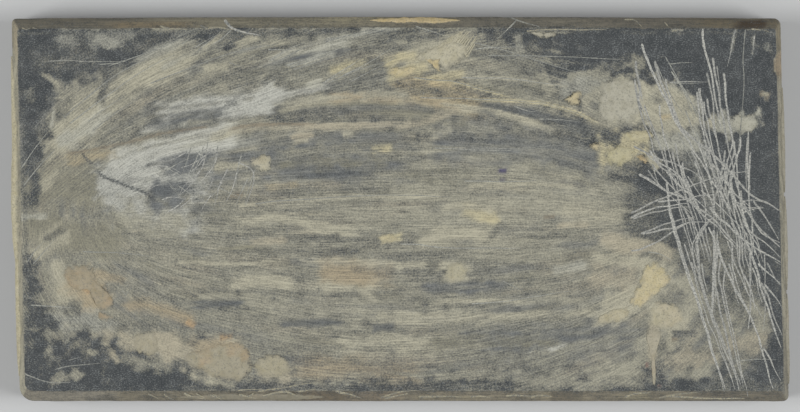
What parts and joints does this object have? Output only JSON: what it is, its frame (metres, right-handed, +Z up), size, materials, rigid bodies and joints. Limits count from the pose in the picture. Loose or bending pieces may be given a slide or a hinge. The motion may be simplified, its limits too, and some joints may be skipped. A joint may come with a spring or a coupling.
{
  "type": "paint mixing stone",
  "caption": "Rectangular dark slate slab with a worked bevel round its face, scored and smeared from mixing paint, with dried deposits of thick paint standing on its face and rim.",
  "frame": {"origin": "middle of the bounding box, on the sawn underside that the stone lies on", "axes": "+Z up out of the mixing face, X along the long edges, and the painter stands on the -Y side"},
  "size_m": [0.3039, 0.1501, 0.0209],
  "materials": {
    "slate": "matte",
    "cream_paint": "matte",
    "ochre_paint": "matte",
    "yellow_paint": "matte",
    "flesh_paint": "matte"
  },
  "bodies": {
    "root": {"stone_slab": "slate", "brushed_dab": "cream_paint", "brushed_dab_ochre_lump": "ochre_paint", "brushed_dab_ochre_trail": "ochre_paint", "ochre_flake": "ochre_paint", "cream_patch_back_right": "cream_paint", "yellow_arm": "yellow_paint", "yellow_patch": "yellow_paint", "ochre_dab_left": "ochre_paint", "ochre_dab_right": "ochre_paint", "pale_patch_far_right": "cream_paint", "yellow_dab_front_right": "yellow_paint", "yellow_dab_tail": "yellow_paint", "cream_lobe_front_right": "cream_paint", "cream_drip": "cream_paint", "flesh_plateau": "flesh_paint", "flesh_dab": "flesh_paint", "cream_dab_front_left": "cream_paint", "cream_patch_front_left": "cream_paint", "cream_blob_front_left": "cream_paint", "cream_dab_left": "cream_paint", "yellow_dab_middle": "yellow_paint", "cream_dab_right_of_middle": "cream_paint", "cream_smear_back_arris": "cream_paint", "left_rim_paint": "cream_paint", "left_rim_paint_front": "cream_paint", "right_rim_paint_front": "cream_paint", "right_rim_paint_middle": "cream_paint", "right_rim_paint_back": "cream_paint", "back_rim_ochre": "ochre_paint", "front_rim_paint": "cream_paint"}
  },
  "joints": []
}
